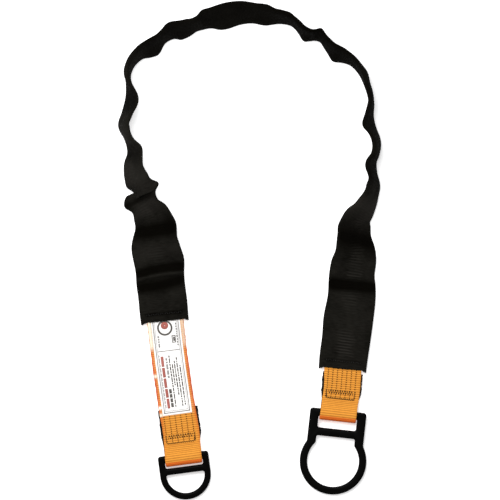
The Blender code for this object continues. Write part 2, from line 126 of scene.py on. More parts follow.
# The strap's middle line, from the small ring's bar to the large ring's: x and y in mm, and
# the lean in degrees. 0 lies flat with the front up, 90 stands on edge with the inner edge
# up, and more than 90 leans outwards over the crown.
ROUTE = [
    (-81, -253, 0), (-89, -193, 0), (-97, -137, 0), (-103, -87, 0), (-109, -31, 1),
    (-112, -9, 8), (-114, 12, 20), (-115, 29, 32), (-119, 45, 44), (-126, 59, 52),
    (-131, 73, 59), (-137, 87, 64), (-140, 101, 70), (-140, 118, 75), (-147, 137, 86),
    (-153, 151, 81), (-149, 165, 80), (-144, 183, 79), (-147, 203, 89), (-148, 214, 93),
    (-144, 227, 97), (-133, 240, 102), (-119, 249, 105), (-105, 259, 101), (-92, 267, 107),
    (-77, 270, 108), (-63, 275, 103), (-47, 283, 110), (-29, 286, 117), (-11, 289, 115),
    (6, 289, 110), (23, 287, 110), (40, 283, 102), (54, 277, 97), (65, 267, 97),
    (78, 261, 96), (90, 255, 98), (100, 245, 101), (113, 237, 104), (127, 229, 98),
    (138, 216, 94), (144, 201, 90), (148, 184, 89), (146, 158, 81), (154, 132, 86),
    (153, 117, 86), (149, 104, 82), (151, 83, 81), (146, 64, 72), (138, 50, 62),
    (130, 37, 54), (128, 18, 43), (129, -2, 32), (128, -18, 20), (125, -36, 8),
    (124, -60, 0), (120, -92, 0), (114, -138, 0), (111, -172, 0), (108, -200, 0),
]
CENTRE_SHIFT = (0.6 * MM, 1.0 * MM, 0.0)
POINTS_PER_SPAN = 12

# Cross folds of the bunched sleeve's front: distance along the route, half length, height
# (hollows are negative), and how far the fold slants and bows across the width, all in mm.
FOLDS = [
    (262, 78, 1.6, 0, 0), (193, 12, 0.6, 2, 0), (211.5, 9, -3.0, 3, 2),
    (224.2, 2.8, 4.8, 1.5, -2.5), (231, 6.5, -3.8, 1.5, -2.5), (254, 13, 2.0, 3, 0),
    (278, 12, -3.2, 1.5, 1), (306, 12, 2.4, 4, 2), (351, 14, 2.0, -5, 0), (376, 9, -2.4, 0, 0),
    (402, 14, 2.2, 4, 0), (443, 17, -2.0, 3, 0), (481, 10, 1.4, 0, 0), (526, 11, -1.6, 4, 0),
    (546, 5, 1.4, -2, 0), (567, 10, -1.6, -3, 0), (586, 5, 1.0, 2, 0), (606, 9, -1.4, 3, 0),
    (672, 12, -1.4, -3, 0), (697, 6, 0.9, 2, 0), (783, 10, -0.9, 0, 0), (816, 9, 1.4, 2, 0),
    (858, 7, 1.2, 0, 0), (914, 9, 1.6, 3, 0), (945, 8, -0.9, 0, 0), (985, 18, 1.8, 2, 0),
    (1050, 70, 1.8, 0, 0), (1028, 17, -2.8, -5, 0), (1061, 12, 1.0, -3, 2),
    (1085, 8, -3.8, -1.5, 0), (1099, 4, 0.8, -4, -1), (1142, 14, 0.4, 0, 0),
]
# Places where an edge of the sleeve bulges: distance, half length, edge (1 is the inner edge,
# which is the upper one over the crown) and how far it moves towards the inner side, in mm.
BULGES = [
    (180, 26, -1, -1.2), (190, 14, 1, 0.6), (215, 14, -1, -1.3), (241, 14, 1, 3.0),
    (250, 17, -1, -1.6), (262, 12, -1, -2.0), (269, 6, 1, -0.9), (285, 6, 1, 1.2),
    (303, 13, -1, -2.0), (315, 11, 1, -4.2), (310, 4, 1, -1.4), (330, 3, -1, 6.5),
    (334, 5, -1, 6.5), (345, 14, -1, -1.4), (348, 8, 1, 0.9), (370, 15, -1, -2.4),
    (383, 7, 1, 3.0), (409, 6, 1, 1.3), (440, 30, -1, -2.0), (448, 14, 1, 2.4), (495, 8, 1, -0.7),
    (513, 6, -1, 1.8), (525, 10, -1, 5.0), (554, 7, 1, -2.0), (564, 8, -1, 2.6),
    (583, 5, -1, -1.0), (599, 6, 1, -2.4), (613, 15, -1, 3.3), (640, 60, -1, 1.4),
    (672, 16, -1, 2.3), (683, 7, 1, 2.2), (702, 5, 1, -1.0), (731, 6, -1, 6.0), (738, 4, -1, 1.6),
    (744, 6, 1, -5.9), (750, 6, -1, -1.4), (775, 7, -1, 4.4), (822, 28, 1, 2.0),
    (830, 28, -1, 2.2), (880, 8, 1, 4.4), (900, 9, -1, -1.4), (905, 14, 1, 1.8),
    (932, 11, 1, 3.2), (956, 7, 1, 2.0), (957, 9, -1, -2.0), (989, 9, 1, -2.1), (1013, 6, 1, 1.7),
    (1024, 11, -1, 1.5), (1057, 14, 1, 2.0), (1065, 12, -1, 2.1), (1127, 22, 1, 2.3),
    (1130, 50, -1, -1.1), (1170, 18, 1, 1.0),
]
# Where painted sheen lightens the rubbed ribs down the sleeve's middle: distance and half length
# in mm, share.
RUBBED_RIB_SHEEN = [(254, 12, 0.3), (305, 10, 0.4), (1005, 8, 0.6), (1050, 14, 1.0), (1072, 5, 1.0),
          (1104, 12, 1.0), (1160, 18, 1.2)]
# The fold heights in mm at which a hollow's painted shade and a ridge's painted highlight are
# full. A fold whose half length is BROAD_FOLD or more has no shade of its own.
HOLLOW_SHADE, RIDGE_SHADE = 2.6, 6.5
BROAD_FOLD = 40
DEEPEST_HOLLOW = -1.0 * MM
# The crown lies in its own shade, which comes and goes over these distances.
CROWN_SHADE = 0.72
CROWN_FROM = (495 * MM, 520 * MM)
CROWN_TO = (940 * MM, 985 * MM)
# Stretches of painted light and shade over the whole sleeve: distance and half length in mm,
# share.
LIGHT_AND_SHADE_STRETCHES = [(372, 45, 0.3), (433, 10, -0.25), (465, 14, -0.35), (740, 60, -0.3), (985, 22, 0.35)]
# The pleat: its place, how far its lip and its tuck reach along the strap, and its height.
PLEAT_AT = 327.5 * MM
PLEAT_REACH = 7.0 * MM
PLEAT_HEIGHT = 4.5 * MM
TACK_FROM_MOUTH = 9 * MM
TACK_DEPTH = {"small": 1.1, "large": 0.6}  # of the dent in the sleeve, in mm
# The webbing's edges beside the label are worn: how far out across it, and where along it.
WORN_FROM = (18.5 * MM, 21 * MM)
WORN_AT, WORN_HALF = 95 * MM, 55 * MM
# Glare in the film beside the label: towards the mouth on both sides, and in spots (distances
# in mm) on the left.
GLARE_FROM = (130 * MM, 142 * MM)
GLARE_LEFT, GLARE_RIGHT = 0.9, 0.3
GLARE_SPOTS = (54, 63, 102)

rng = np.random.default_rng(11)


# ---- the strap's route

def dense_route():
    """The route as close points: x and y in metres and the lean in radians, one row each."""
    knots = np.array(ROUTE, float) * (MM, MM, math.pi / 180) + CENTRE_SHIFT
    ends = np.vstack([2 * knots[0] - knots[1], knots, 2 * knots[-1] - knots[-2]])
    t = np.arange(POINTS_PER_SPAN)[:, None] / POINTS_PER_SPAN
    spans = []
    for a, b, c, d in zip(ends, ends[1:], ends[2:], ends[3:]):
        spans.append(0.5 * (2 * b + (c - a) * t + (2 * a - 5 * b + 4 * c - d) * t ** 2
                            + (3 * b - a - 3 * c + d) * t ** 3))
    return np.vstack(spans + [knots[-1:]])


DENSE = dense_route()
STEPS = np.linalg.norm(np.diff(DENSE[:, :2], axis=0), axis=1)
DISTANCE = np.concatenate([[0.0], np.cumsum(STEPS)])
ROUTE_LENGTH = DISTANCE[-1]
SLEEVE_STOP = ROUTE_LENGTH - SLEEVE_END_TO_BAR
INDEX = np.arange(len(DENSE))
HEADING = (DENSE[np.minimum(INDEX + 4, len(DENSE) - 1), :2]
           - DENSE[np.maximum(INDEX - 4, 0), :2])
HEADING /= np.linalg.norm(HEADING, axis=1)[:, None]


def smooth(value, low, high):
    """0 up to low, 1 from high on, with a smooth rise between them."""
    t = np.clip((value - low) / (high - low), 0, 1)
    return t * t * (3 - 2 * t)


def hump(value, half):
    """1 at 0, falling smoothly to nothing on both sides."""
    return np.exp(-(value / half) ** 2)


def sleeve_thickness(s):
    extra_start = (MOUTH_THICK_SMALL - SLEEVE_THICK) * (1 - smooth(s - SLEEVE_START, 0, 0.04))
    extra_end = (MOUTH_THICK_LARGE - SLEEVE_THICK) * (1 - smooth(SLEEVE_STOP - s, 0.01, 0.075))
    return SLEEVE_THICK + extra_start + extra_end


Frames = namedtuple("Frames", "origin along across front sideways")


def frames(s, height=None):
    """Places on the middle line at the distances s, each with its axes.

    across points to the inner edge, front out of the front, and sideways is across laid flat.
    """
    s = np.asarray(s, float)
    inside = np.clip(s, 0, ROUTE_LENGTH)
    x, y, lean = (np.interp(inside, DISTANCE, column) for column in DENSE.T)
    ahead = np.stack([np.interp(inside, DISTANCE, column) for column in HEADING.T], -1)
    ahead /= np.linalg.norm(ahead, axis=-1)[..., None]
    nothing = np.zeros_like(x)
    along = np.stack([ahead[..., 0], ahead[..., 1], nothing], -1)
    sideways = np.stack([ahead[..., 1], -ahead[..., 0], nothing], -1)
    up = np.array([0.0, 0.0, 1.0])
    across = sideways * np.cos(lean)[..., None] + up * np.sin(lean)[..., None]
    front = np.cross(across, along)
    if height is None:
        thick = sleeve_thickness(inside)
        height = (SLEEVE_WIDTH - thick) / 2 * np.abs(np.sin(lean)) + thick / 2
    origin = np.stack([x, y, nothing + height], -1) + along * (s - inside)[..., None]
    return Frames(origin, along, across, front, sideways)


def wobble(x, period, seed):
    """Smooth uneven noise from -1 to 1 along x, the same each run."""
    values = np.random.default_rng(seed).uniform(-1, 1, 512)
    place = np.asarray(x) / period + 1000.0
    cell = np.floor(place).astype(int)
    t = place - cell
    t = t * t * (3 - 2 * t)
    return values[cell % 512] * (1 - t) + values[(cell + 1) % 512] * t


# ---- the sewn ends

def tail_height(u, end):
    """Mid height of the sewn-back tail; at the large end it climbs onto the sleeve's wall."""
    lift = TAIL_CLIMB * smooth(u, *TAIL_CLIMBS) if end == "large" else 0.0
    return np.full_like(u, WEBBING_THICK / 2) + lift


def front_height(u, end):
    """Mid height of the webbing's front layer at the distances u from the bar."""
    s = u if end == "small" else ROUTE_LENGTH - u
    on_tail = WEBBING_THICK + GAP
    on_pads = 2 * LAYER_STEP + PAD_THICK + GAP
    height = tail_height(u, end) + on_pads
    height = height - (on_pads - on_tail) * smooth(u, PAD_LENGTH[end], PAD_LENGTH[end] + PAD_STEP)
    inside = sleeve_thickness(s) / 2
    if end == "large":
        past_tail = smooth(u, TAIL_LENGTH, TAIL_LENGTH + TAIL_STEP_INSIDE)
        return height + (inside - height) * past_tail
    free = WEBBING_THICK / 2 + GAP
    height = height + (free - height) * smooth(u, TAIL_LENGTH, TAIL_LENGTH + TAIL_STEP_FREE)
    return height + (inside - height) * smooth(u, RISE_TO_SLEEVE, SLEEVE_START - 4 * MM)


def loop_profile(offset):
    """Side view of one layer round the bar as u and height: bottom, round the bar, top, knee."""
    stack = WEBBING_THICK / 2 + LAYER_STEP + PAD_THICK + GAP
    knee = np.array([KNEE_CENTRE, stack + KNEE_RADIUS - BAR_HEIGHT])
    reach = (PAD_BEND + KNEE_RADIUS) / np.linalg.norm(knee)
    lift_off = math.atan2(knee[1], knee[0]) + math.acos(reach)
    bend, fillet = PAD_BEND + offset, KNEE_RADIUS - offset
    round_bar = np.linspace(-math.pi / 2, lift_off - 2 * math.pi, LOOP_STEPS)
    round_knee = np.linspace(lift_off + math.pi, 1.5 * math.pi, LOOP_STEPS // 3)
    u = np.concatenate([bend * np.cos(round_bar), knee[0] + fillet * np.cos(round_knee)])
    height = np.concatenate([bend * np.sin(round_bar), knee[1] + fillet * np.sin(round_knee)])
    return u, BAR_HEIGHT + height


def route_distance(u, end):
    return u if end == "small" else ROUTE_LENGTH - u


def standing_height(s):
    """Mid height of the webbing's front layer at the distances s along the whole route."""
    near_large = ROUTE_LENGTH - s < TAIL_LENGTH + TAIL_STEP_INSIDE
    height = np.where(near_large, front_height(ROUTE_LENGTH - s, "large"), frames(s).origin[:, 2])
    return np.where(s < SLEEVE_START, front_height(s, "small"), height)


# ---- meshes

def quads(rows, columns, around):
    """Faces of a grid of points, as indices; around joins the last column to the first."""
    last = columns if around else columns - 1
    i, j = np.meshgrid(np.arange(rows - 1), np.arange(last), indexing="ij")
    i, j = i.ravel(), j.ravel()
    n = (j + 1) % columns
    faces = np.stack([i * columns + j, i * columns + n, (i + 1) * columns + n,
                      (i + 1) * columns + j], 1)
    return faces.tolist()


def add_object(name, data):
    made = bpy.data.objects.new(name, data)
    bpy.context.scene.collection.objects.link(made)
    return made


def face_outwards(mesh, merge=None):
    """Turns all faces outwards, after merging points closer than merge."""
    shell = bmesh.new()
    shell.from_mesh(mesh)
    if merge:
        bmesh.ops.remove_doubles(shell, verts=shell.verts, dist=merge)
    bmesh.ops.recalc_face_normals(shell, faces=shell.faces)
    shell.to_mesh(mesh)
    shell.free()


def mesh_object(name, points, faces, material, uv=None, values=None):
    """A shaded mesh object; uv gives each point's place on the cloth, values its own numbers."""
    mesh = bpy.data.meshes.new(name)
    mesh.from_pydata(points.reshape(-1, 3).tolist(), [], faces)
    face_outwards(mesh)
    if uv is not None:
        corner = np.zeros(len(mesh.loops), np.int32)
        mesh.loops.foreach_get("vertex_index", corner)
        layer = mesh.uv_layers.new(name="cloth")
        layer.data.foreach_set("uv", uv.reshape(-1, 2)[corner].astype(np.float32).ravel())
    for key, value in (values or {}).items():
        attribute = mesh.attributes.new(key, "FLOAT", "POINT")
        attribute.data.foreach_set("value", np.asarray(value, np.float32).ravel())
    mesh.materials.append(material)
    mesh.shade_smooth()
    return add_object(name, mesh)


def grids_object(name, grids, material, capped=False):
    """One object of many grids of points, each given with whether it closes round."""
    points, faces = [], []
    for grid, around in grids:
        rows, columns = grid.shape[:2]
        first = len(points)
        faces += [[k + first for k in face] for face in quads(rows, columns, around)]
        if capped:
            faces.append([first + k for k in range(columns)])
            faces.append([first + (rows - 1) * columns + k for k in range(columns)])
        points += grid.reshape(-1, 3).tolist()
    return mesh_object(name, np.array(points), faces, material)


def dress(piece, body, slot, *nodes):
    """The piece rides on a CAD body and stands for CAD nodes; slot is not used."""
    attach(piece, body)
    if nodes:
        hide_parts(*nodes)
    return piece


def edge_profile(across, half, thick):
    """Half thickness over the width of a strip with rounded edges."""
    rounding = 0.6 * thick
    past = np.clip((np.abs(across) - (half - rounding)) / rounding, 0, 1)
    return thick / 2 * np.maximum(np.sqrt(1 - past ** 2), 0.3)


def end_faces(rows, columns):
    """Faces that close both ends of a strip whose rows run over the top and back underneath."""
    faces = []
    for first in (0, (rows - 1) * columns):
        for j in range(columns // 2 - 1):
            k, m = first + j, first + columns - 1 - j
            faces.append([k, k + 1, m - 1, m])
    return faces


def strip_object(name, s, height, across, thick, material, relief=0.0, values=None, shift=None):
    """A closed strip of cloth. s and height give its middle line, across each row's places.

    relief is the height of the weave's cross ribs over and under the strip, and shift moves
    its points sideways.
    """
    route = frames(s, height)
    mid = route.origin[:, None] + route.across[:, None] * across[..., None]
    if shift is not None:
        mid = mid + route.sideways[:, None] * shift[..., None]
    normal = np.cross(route.across, np.gradient(route.origin, axis=0))
    normal /= np.linalg.norm(normal, axis=1)[:, None]
    steps = np.linalg.norm(np.diff(route.origin, axis=0), axis=1)
    length = np.concatenate([[0.0], np.cumsum(steps)])
    rib = relief * np.cos(2 * math.pi * length / WEBBING_RIB)
    half = np.abs(across).max(axis=1, keepdims=True)
    thickness = edge_profile(across, half, thick) + rib[:, None]
    top = mid + normal[:, None] * thickness[..., None]
    bottom = mid - normal[:, None] * thickness[..., None]
    ring = np.concatenate([top, bottom[:, ::-1]], axis=1)
    rows, columns = ring.shape[:2]
    faces = quads(rows, columns, around=True) + end_faces(rows, columns)
    place = np.stack(np.broadcast_arrays(length[:, None], across), -1)
    uv = np.concatenate([place, place[:, ::-1]], axis=1)
    spread = {}
    for key, value in (values or {}).items():
        value = np.broadcast_to(value.reshape(rows, -1), across.shape)
        spread[key] = np.concatenate([value, value[:, ::-1]], axis=1)
    return mesh_object(name, ring, faces, material, uv, spread)


# ---- materials

class Paint:
    """A material's node tree, with short calls for the nodes that the cloths share."""

    def __init__(self, name, roughness, specular):
        self.material = bpy.data.materials.new(name)
        self.material.use_nodes = True
        self.tree = self.material.node_tree
        self.shader = self.tree.nodes["Principled BSDF"]
        self.feed(self.shader.inputs["Roughness"], roughness)
        self.feed(self.shader.inputs["Specular IOR Level"], specular)

    def feed(self, socket, value):
        """Puts a number, a colour or another node's output into a socket."""
        if isinstance(value, bpy.types.NodeSocket):
            self.tree.links.new(value, socket)
        else:
            socket.default_value = (*value, 1.0) if isinstance(value, tuple) else value

    def node(self, kind, inputs=(), **settings):
        """A node with its settings, and its inputs fed by name or number."""
        made = self.tree.nodes.new("ShaderNode" + kind)
        for key, value in settings.items():
            setattr(made, key, value)
        for key, value in dict(inputs).items():
            self.feed(made.inputs[key], value)
        return made

    def math(self, operation, *values):
        return self.node("Math", enumerate(values), operation=operation).outputs[0]

    def object_place(self):
        return self.node("TexCoord").outputs["Object"]

    def cloth_place(self):
        """The place on the cloth, in metres: along it and across it."""
        place = self.node("UVMap", uv_map="cloth").outputs[0]
        parts = self.node("SeparateXYZ", {0: place}).outputs
        return parts[0], parts[1]

    def value(self, name):
        return self.node("Attribute", attribute_name=name).outputs["Fac"]

    def noise(self, scale, detail=3.0):
        inputs = {"Vector": self.object_place(), "Scale": scale, "Detail": detail}
        return self.node("TexNoise", inputs).outputs["Fac"]

    def streaks(self, along, across, along_scale, across_scale):
        """Noise on the cloth with its own scale each way."""
        scaled = {0: self.math("MULTIPLY", along, along_scale),
                  1: self.math("MULTIPLY", across, across_scale)}
        place = self.node("CombineXYZ", scaled).outputs[0]
        return self.node("TexNoise", {"Vector": place, "Scale": 1.0}).outputs["Fac"]

    def waves(self, along, period):
        """0 to 1 in smooth waves of a period."""
        turned = self.math("MULTIPLY", along, 2 * math.pi / period)
        return self.math("MULTIPLY_ADD", self.math("COSINE", turned), 0.5, 0.5)

    def ramp(self, value, low, high):
        """0 at low and 1 at high."""
        inputs = {"Value": value, "From Min": low, "From Max": high}
        return self.node("MapRange", inputs).outputs["Result"]

    def mix(self, share, a, b):
        """Colour a where share is 0, and colour b where it is 1."""
        return self.node("Mix", {0: share, 6: a, 7: b}, data_type="RGBA").outputs[2]

    def colour(self, value):
        self.feed(self.shader.inputs["Base Color"], value)

    def bump(self, height, distance, strength=1.0):
        inputs = {"Height": height, "Distance": distance, "Strength": strength}
        self.feed(self.shader.inputs["Normal"], self.node("Bump", inputs).outputs[0])


def webbing_paint(name, light, dark, bend, worn, specular):
    """Woven webbing: cross ribs with painted shade in their valleys, fine yarns, and tints at
    bends and wear.
    """
    paint = Paint(name, 0.82, specular)
    along, across = paint.cloth_place()
    ribs = paint.waves(along, WEBBING_RIB)
    yarns = paint.waves(across, WEBBING_YARN)
    uneven = paint.math("MULTIPLY", paint.noise(260.0), 0.38)
    # The ribs and yarns darken the cloth between them as painted shade; the noise is its own
    # uneven colour.
    shade = paint.math("ADD", paint.math("MULTIPLY", ribs, 0.62), uneven)
    shade = paint.math("ADD", shade, paint.math("MULTIPLY", yarns, 0.16))
    body = paint.mix(paint.ramp(shade, 0.0, 0.78), dark, light)
    bent = paint.mix(paint.value("bend"), body, bend)
    paint.colour(paint.mix(paint.value("worn"), bent, worn))
    height = paint.math("ADD", paint.math("MULTIPLY", yarns, 0.5), ribs)
    paint.bump(height, 0.12 * MM, 0.7)
    return paint.material


def sleeve_paint():
    """Black tubular webbing with fine cross ribs, a painted highlight on its ridges and painted
    shade in its hollows.
    """
    paint = Paint("sleeve_cloth", 0.85, 0.004)
    along, across = paint.cloth_place()
    fine = paint.waves(along, SLEEVE_FINE_RIB)
    yarns = paint.waves(across, SLEEVE_YARN)
    grain = paint.math("ADD", paint.noise(45.0, 4.0), paint.streaks(along, across, 800.0, 150.0))
    dark, light = (0.0036, 0.0033, 0.0026), (0.0125, 0.0116, 0.0096)
    painted_ridge_light, painted_hollow_shade = (0.034, 0.031, 0.027), (0.0013, 0.0010, 0.0006)
    body = paint.mix(paint.ramp(grain, 0.6, 1.4), dark, light)
    # relief is the light and shade painted into the colour: towards 1 it mixes in a painted
    # highlight on ridges and rubbed ribs, towards -1 painted shade in hollows, creases and the
    # crown.
    relief = paint.value("relief")
    raised = paint.math("MULTIPLY", paint.ramp(relief, 0.1, 1.0), 0.5)
    sunk = paint.math("MULTIPLY", paint.ramp(relief, -0.05, -1.0), 0.88)
    paint.colour(paint.mix(sunk, paint.mix(raised, body, painted_ridge_light), painted_hollow_shade))
    height = paint.math("ADD", paint.math("MULTIPLY", yarns, 0.5), fine)
    paint.bump(height, 0.15 * MM, 0.8)
    return paint.material


def plain_paint(name, light, dark, roughness, specular, grain, depth):
    """A nearly plain surface with a fine uneven grain."""
    paint = Paint(name, roughness, specular)
    uneven = paint.noise(grain)
    paint.colour(paint.mix(uneven, dark, light))
    paint.bump(uneven, depth, 0.4)
    return paint.material


def thread_paint(name, light, dark):
    """Twisted sewing thread: slanting plies, with painted shade in the grooves between them."""
    paint = Paint(name, 0.6, 0.08)
    inputs = {"Vector": paint.object_place(), "Scale": 420.0}
    wave = paint.node("TexWave", inputs, wave_type="BANDS", bands_direction="DIAGONAL")
    plies = wave.outputs["Fac"]
    paint.colour(paint.mix(plies, dark, light))
    paint.bump(plies, 0.05 * MM, 0.6)
    return paint.material


def film_paint():
    """Clear label film: glossy, with milky glare where it has come away."""
    paint = Paint("label_film", 0.14, 0.5)
    paint.colour((1.0, 0.92, 0.74))
    haze = paint.math("MULTIPLY_ADD", paint.value("glare"), 0.85, 0.02)
    paint.feed(paint.shader.inputs["Alpha"], haze)
    paint.bump(paint.noise(60.0), 0.3 * MM, 0.25)
    return paint.material


ORANGE = webbing_paint("orange_webbing_cloth", (0.75, 0.31, 0.042), (0.29, 0.085, 0.010),
                       (0.76, 0.125, 0.014), (0.48, 0.06, 0.016), 0.10)
BLACK_PAD = webbing_paint("black_pad_cloth", (0.012, 0.012, 0.012), (0.004, 0.004, 0.004),
                          (0.006, 0.006, 0.006), (0.006, 0.006, 0.006), 0.03)
SLEEVE = sleeve_paint()
STEEL = plain_paint("black_steel_coat", (0.0018, 0.0017, 0.0015), (0.001, 0.001, 0.001),
                    0.38, 0.022, 900.0, 0.04 * MM)
LABEL = plain_paint("label_sheet_white", (0.90, 0.89, 0.885), (0.82, 0.81, 0.80),
                    0.5, 0.3, 300.0, 0.03 * MM)
INK = (0.6, 0.2, 2200.0, 0.01 * MM)
PRINT_GREY = plain_paint("print_grey", (0.32, 0.31, 0.31), (0.22, 0.21, 0.21), *INK)
PRINT_DARK = plain_paint("print_dark", (0.07, 0.065, 0.065), (0.04, 0.035, 0.035), *INK)
PRINT_RED = plain_paint("print_red", (0.40, 0.09, 0.07), (0.30, 0.06, 0.05), *INK)
THREAD = thread_paint("black_thread_cloth", (0.020, 0.014, 0.012), (0.007, 0.005, 0.004))
SUNK_THREAD = thread_paint("sunk_thread_cloth", (0.055, 0.018, 0.008), (0.020, 0.007, 0.004))
SLEEVE_THREAD = thread_paint("sleeve_thread_cloth", (0.022, 0.021, 0.020), (0.006, 0.006, 0.006))
FILM = film_paint()


# ---- camera

VIEW_CENTRE = (1.0 * MM, 0.5 * MM)
VIEW_WIDTH = 0.610
LENS, SENSOR = 600.0, 36.0


def add_camera():
    """A long lens straight above, whose view is as wide as the photograph's."""
    data = bpy.data.cameras.new("camera")
    data.lens = LENS
    data.sensor_width = SENSOR
    distance = VIEW_WIDTH / SENSOR * LENS
    data.clip_end = 4 * distance
    camera = add_object("camera", data)
    camera.location = (*VIEW_CENTRE, distance)
    bpy.context.scene.camera = camera


add_camera()


# ---- webbing and pads

def even(start, stop, step):
    """Places from start to stop, about a step apart."""
    return np.linspace(start, stop, max(2, int(round(abs(stop - start) / step)) + 1))


def strip_places(width, columns=13):
    """Places across a strip, closer together near its edges."""
    return width / 2 * np.sin(np.linspace(-math.pi / 2, math.pi / 2, columns))


def beside_route(s):
    """How far the webbing lies sideways of the route's middle line, next to each ring."""
    return (SIDE_SHIFT["small"] * hump(s - SIDE_AT, SIDE_HALF)
            + SIDE_SHIFT["large"] * hump(ROUTE_LENGTH - s - SIDE_AT, SIDE_HALF))


def bend_tint(u):
    """How much of the bend's darker tint the webbing has at the distances u from the bar."""
    return 0.85 * (1 - smooth(u, -5.0 * MM, -3.0 * MM))


def end_line(end):
    """Tail, loop and front of a sewn end: distances, mid heights and the bend's tint."""
    tail = even(TAIL_LENGTH, LOOP_FROM, CLOSE_STEP)[:-1]
    loop_u, loop_height = loop_profile(LAYER_STEP)
    mouth = SLEEVE_START if end == "small" else SLEEVE_END_TO_BAR
    front = even(PAST_KNEE, mouth + CLOSE_PAST_MOUTH, CLOSE_STEP)
    u = np.concatenate([tail, loop_u, front])
    height = np.concatenate([tail_height(tail, end), loop_height, front_height(front, end)])
    tint = np.concatenate([np.zeros(len(tail)), bend_tint(loop_u), np.zeros(len(front))])
    order = 1 if end == "small" else -1
    return route_distance(u, end)[::order], height[::order], tint[::order]


def webbing_line():
    """Distances, mid heights and the bend's tint of the whole webbing, from tail to tail."""
    small, large = end_line("small"), end_line("large")
    s = even(small[0][-1], large[0][0], HIDDEN_STEP)[1:-1]
    middle = (s, standing_height(s), np.zeros(len(s)))
    return [np.concatenate(parts) for parts in zip(small, middle, large)]


def webbing_places(s):
    """Places across the webbing: its edges waver, and the outer one draws in at the pleat."""
    waver = 0.25 * MM * wobble(np.arange(len(s)), 9, 3)
    across = strip_places(WEBBING_WIDTH)[None] * (1 + waver / (WEBBING_WIDTH / 2))[:, None]
    drawn_in = 0.65 * hump(s - PLEAT_AT - 2 * MM, 10 * MM)[:, None]
    return np.where(across < 0, across * (1 - drawn_in), across)


def make_webbing():
    """One length: tail, round the small ring's bar, up and over, round the other bar, tail."""
    s, height, bend = webbing_line()
    across = webbing_places(s)
    inside = smooth(s, SLEEVE_START, SLEEVE_START + 10 * MM)[:, None]
    shift = bulge(s[:, None], across / (SLEEVE_WIDTH / 2)) * inside + beside_route(s)[:, None]
    worn = smooth(np.abs(across), *WORN_FROM) * hump(s - WORN_AT, WORN_HALF)[:, None]
    values = {"bend": np.maximum(bend[:, None], 0.6 * worn), "worn": 0.9 * worn}
    return strip_object("core_webbing_cloth", s, height, across, WEBBING_THICK, ORANGE,
                        WEBBING_RELIEF, values, shift)


def make_pad(end):
    """The black pad between the ring's bar and the webbing, wider and rough-edged where sewn."""
    length = PAD_LENGTH[end]
    under = even(length, LOOP_FROM, CLOSE_STEP)[:-1]
    loop_u, loop_height = loop_profile(0.0)
    over = even(PAST_KNEE, length, CLOSE_STEP)
    u = np.concatenate([under, loop_u, over])
    height = np.concatenate([tail_height(under, end) + LAYER_STEP, loop_height,
                             tail_height(over, end) + LAYER_STEP + PAD_THICK + GAP])
    spread = smooth(u, *PAD_SPREADS)
    width = PAD_WIDTH_IN_SLOT + (PAD_WIDTH_SEWN - PAD_WIDTH_IN_SLOT) * spread
    across = strip_places(1.0)[None] * width[:, None] + (PAD_SKEW[end] * spread)[:, None]
    place = np.arange(len(u))
    for side, seed in ((0, 5), (-1, 6)):
        rough = 0.6 * MM * wobble(place, 12, seed) + 0.35 * MM * wobble(place, 3, seed)
        across[:, side] += spread * rough
    plain = {"bend": np.zeros(len(u)), "worn": np.zeros(len(u))}
    return strip_object(f"wear_pad_{end}_cloth", route_distance(u, end), height, across,
                        PAD_THICK, BLACK_PAD, PAD_RELIEF, plain)


# ---- the sleeve

SECTION_POWER = 2.7


def flattened(wave):
    """A cosine or sine of the angle round the tube, drawn out to its flattened section."""
    return np.sign(wave) * np.abs(wave) ** (2 / SECTION_POWER)


def bulge(p, share):
    """How far the sleeve's edges move sideways towards the inner side."""
    moved = np.zeros(np.broadcast(p, share).shape)
    for at, half, edge, high in BULGES:
        moved += high * MM * hump(p - at * MM, half * MM) * smooth(edge * share, -0.2, 1.0)
    return moved


def mouth_rim(p, share, angle):
    """How far the cloth near a mouth moves along the strap: slack corners and a frayed rim."""
    moved = np.zeros_like(p)
    for at, out, seed in ((SLEEVE_START, -1, 31), (SLEEVE_STOP, 1, 32)):
        near = hump(p - at, 4 * MM)
        corner = 2.0 * MM * smooth(np.abs(share), 0.75, 1.0)
        fray = 0.35 * MM * wobble(angle, 0.1, seed) + 0.25 * MM * wobble(angle, 0.035, seed + 5)
        moved += out * near * (corner + fray)
    return moved


def cross_folds(p, share, facing):
    """How high the cross folds lift the cloth, and their shade."""
    lift, relief = np.zeros_like(p), np.zeros_like(p)
    for at, half, high, slant, bow in FOLDS:
        fold = hump(p - (at + slant * share + bow * share ** 2) * MM, half * MM)
        lift += high * MM * fold * facing * (1 - 0.5 * share ** 2)
        if half < BROAD_FOLD:
            relief += high / (HOLLOW_SHADE if high < 0 else RIDGE_SHADE) * fold * facing
    return np.maximum(lift, DEEPEST_HOLLOW), relief


def stretches(p, table):
    """The sum of a table's humps along the route, each as distance, half length and share."""
    return sum(share * hump(p - at * MM, half * MM) for at, half, share in table)


def painted_rib_sheen(p, share, ribs):
    """How much painted sheen lightens the ribs down the middle where they are rubbed, unevenly
    from rib to rib.
    """
    waver = 0.08 * wobble(p, SLEEVE_RIB, 44)
    rib_sheen = stretches(p, RUBBED_RIB_SHEEN) * smooth(-np.abs(share + waver), -0.42, -0.22)
    rib_sheen *= (0.75 + 0.35 * wobble(p, SLEEVE_RIB, 43)
               + 0.25 * wobble(share + p / SLEEVE_RIB, 0.13, 45))
    return 1.15 * (1 - ribs) ** 2 * rib_sheen


def stretch_light_and_shade(p):
    """Painted light and shade over whole stretches of the sleeve, and the crown's painted shade.
    """
    crown = smooth(p, *CROWN_FROM) - smooth(p, *CROWN_TO)
    return stretches(p, LIGHT_AND_SHADE_STRETCHES) - CROWN_SHADE * crown


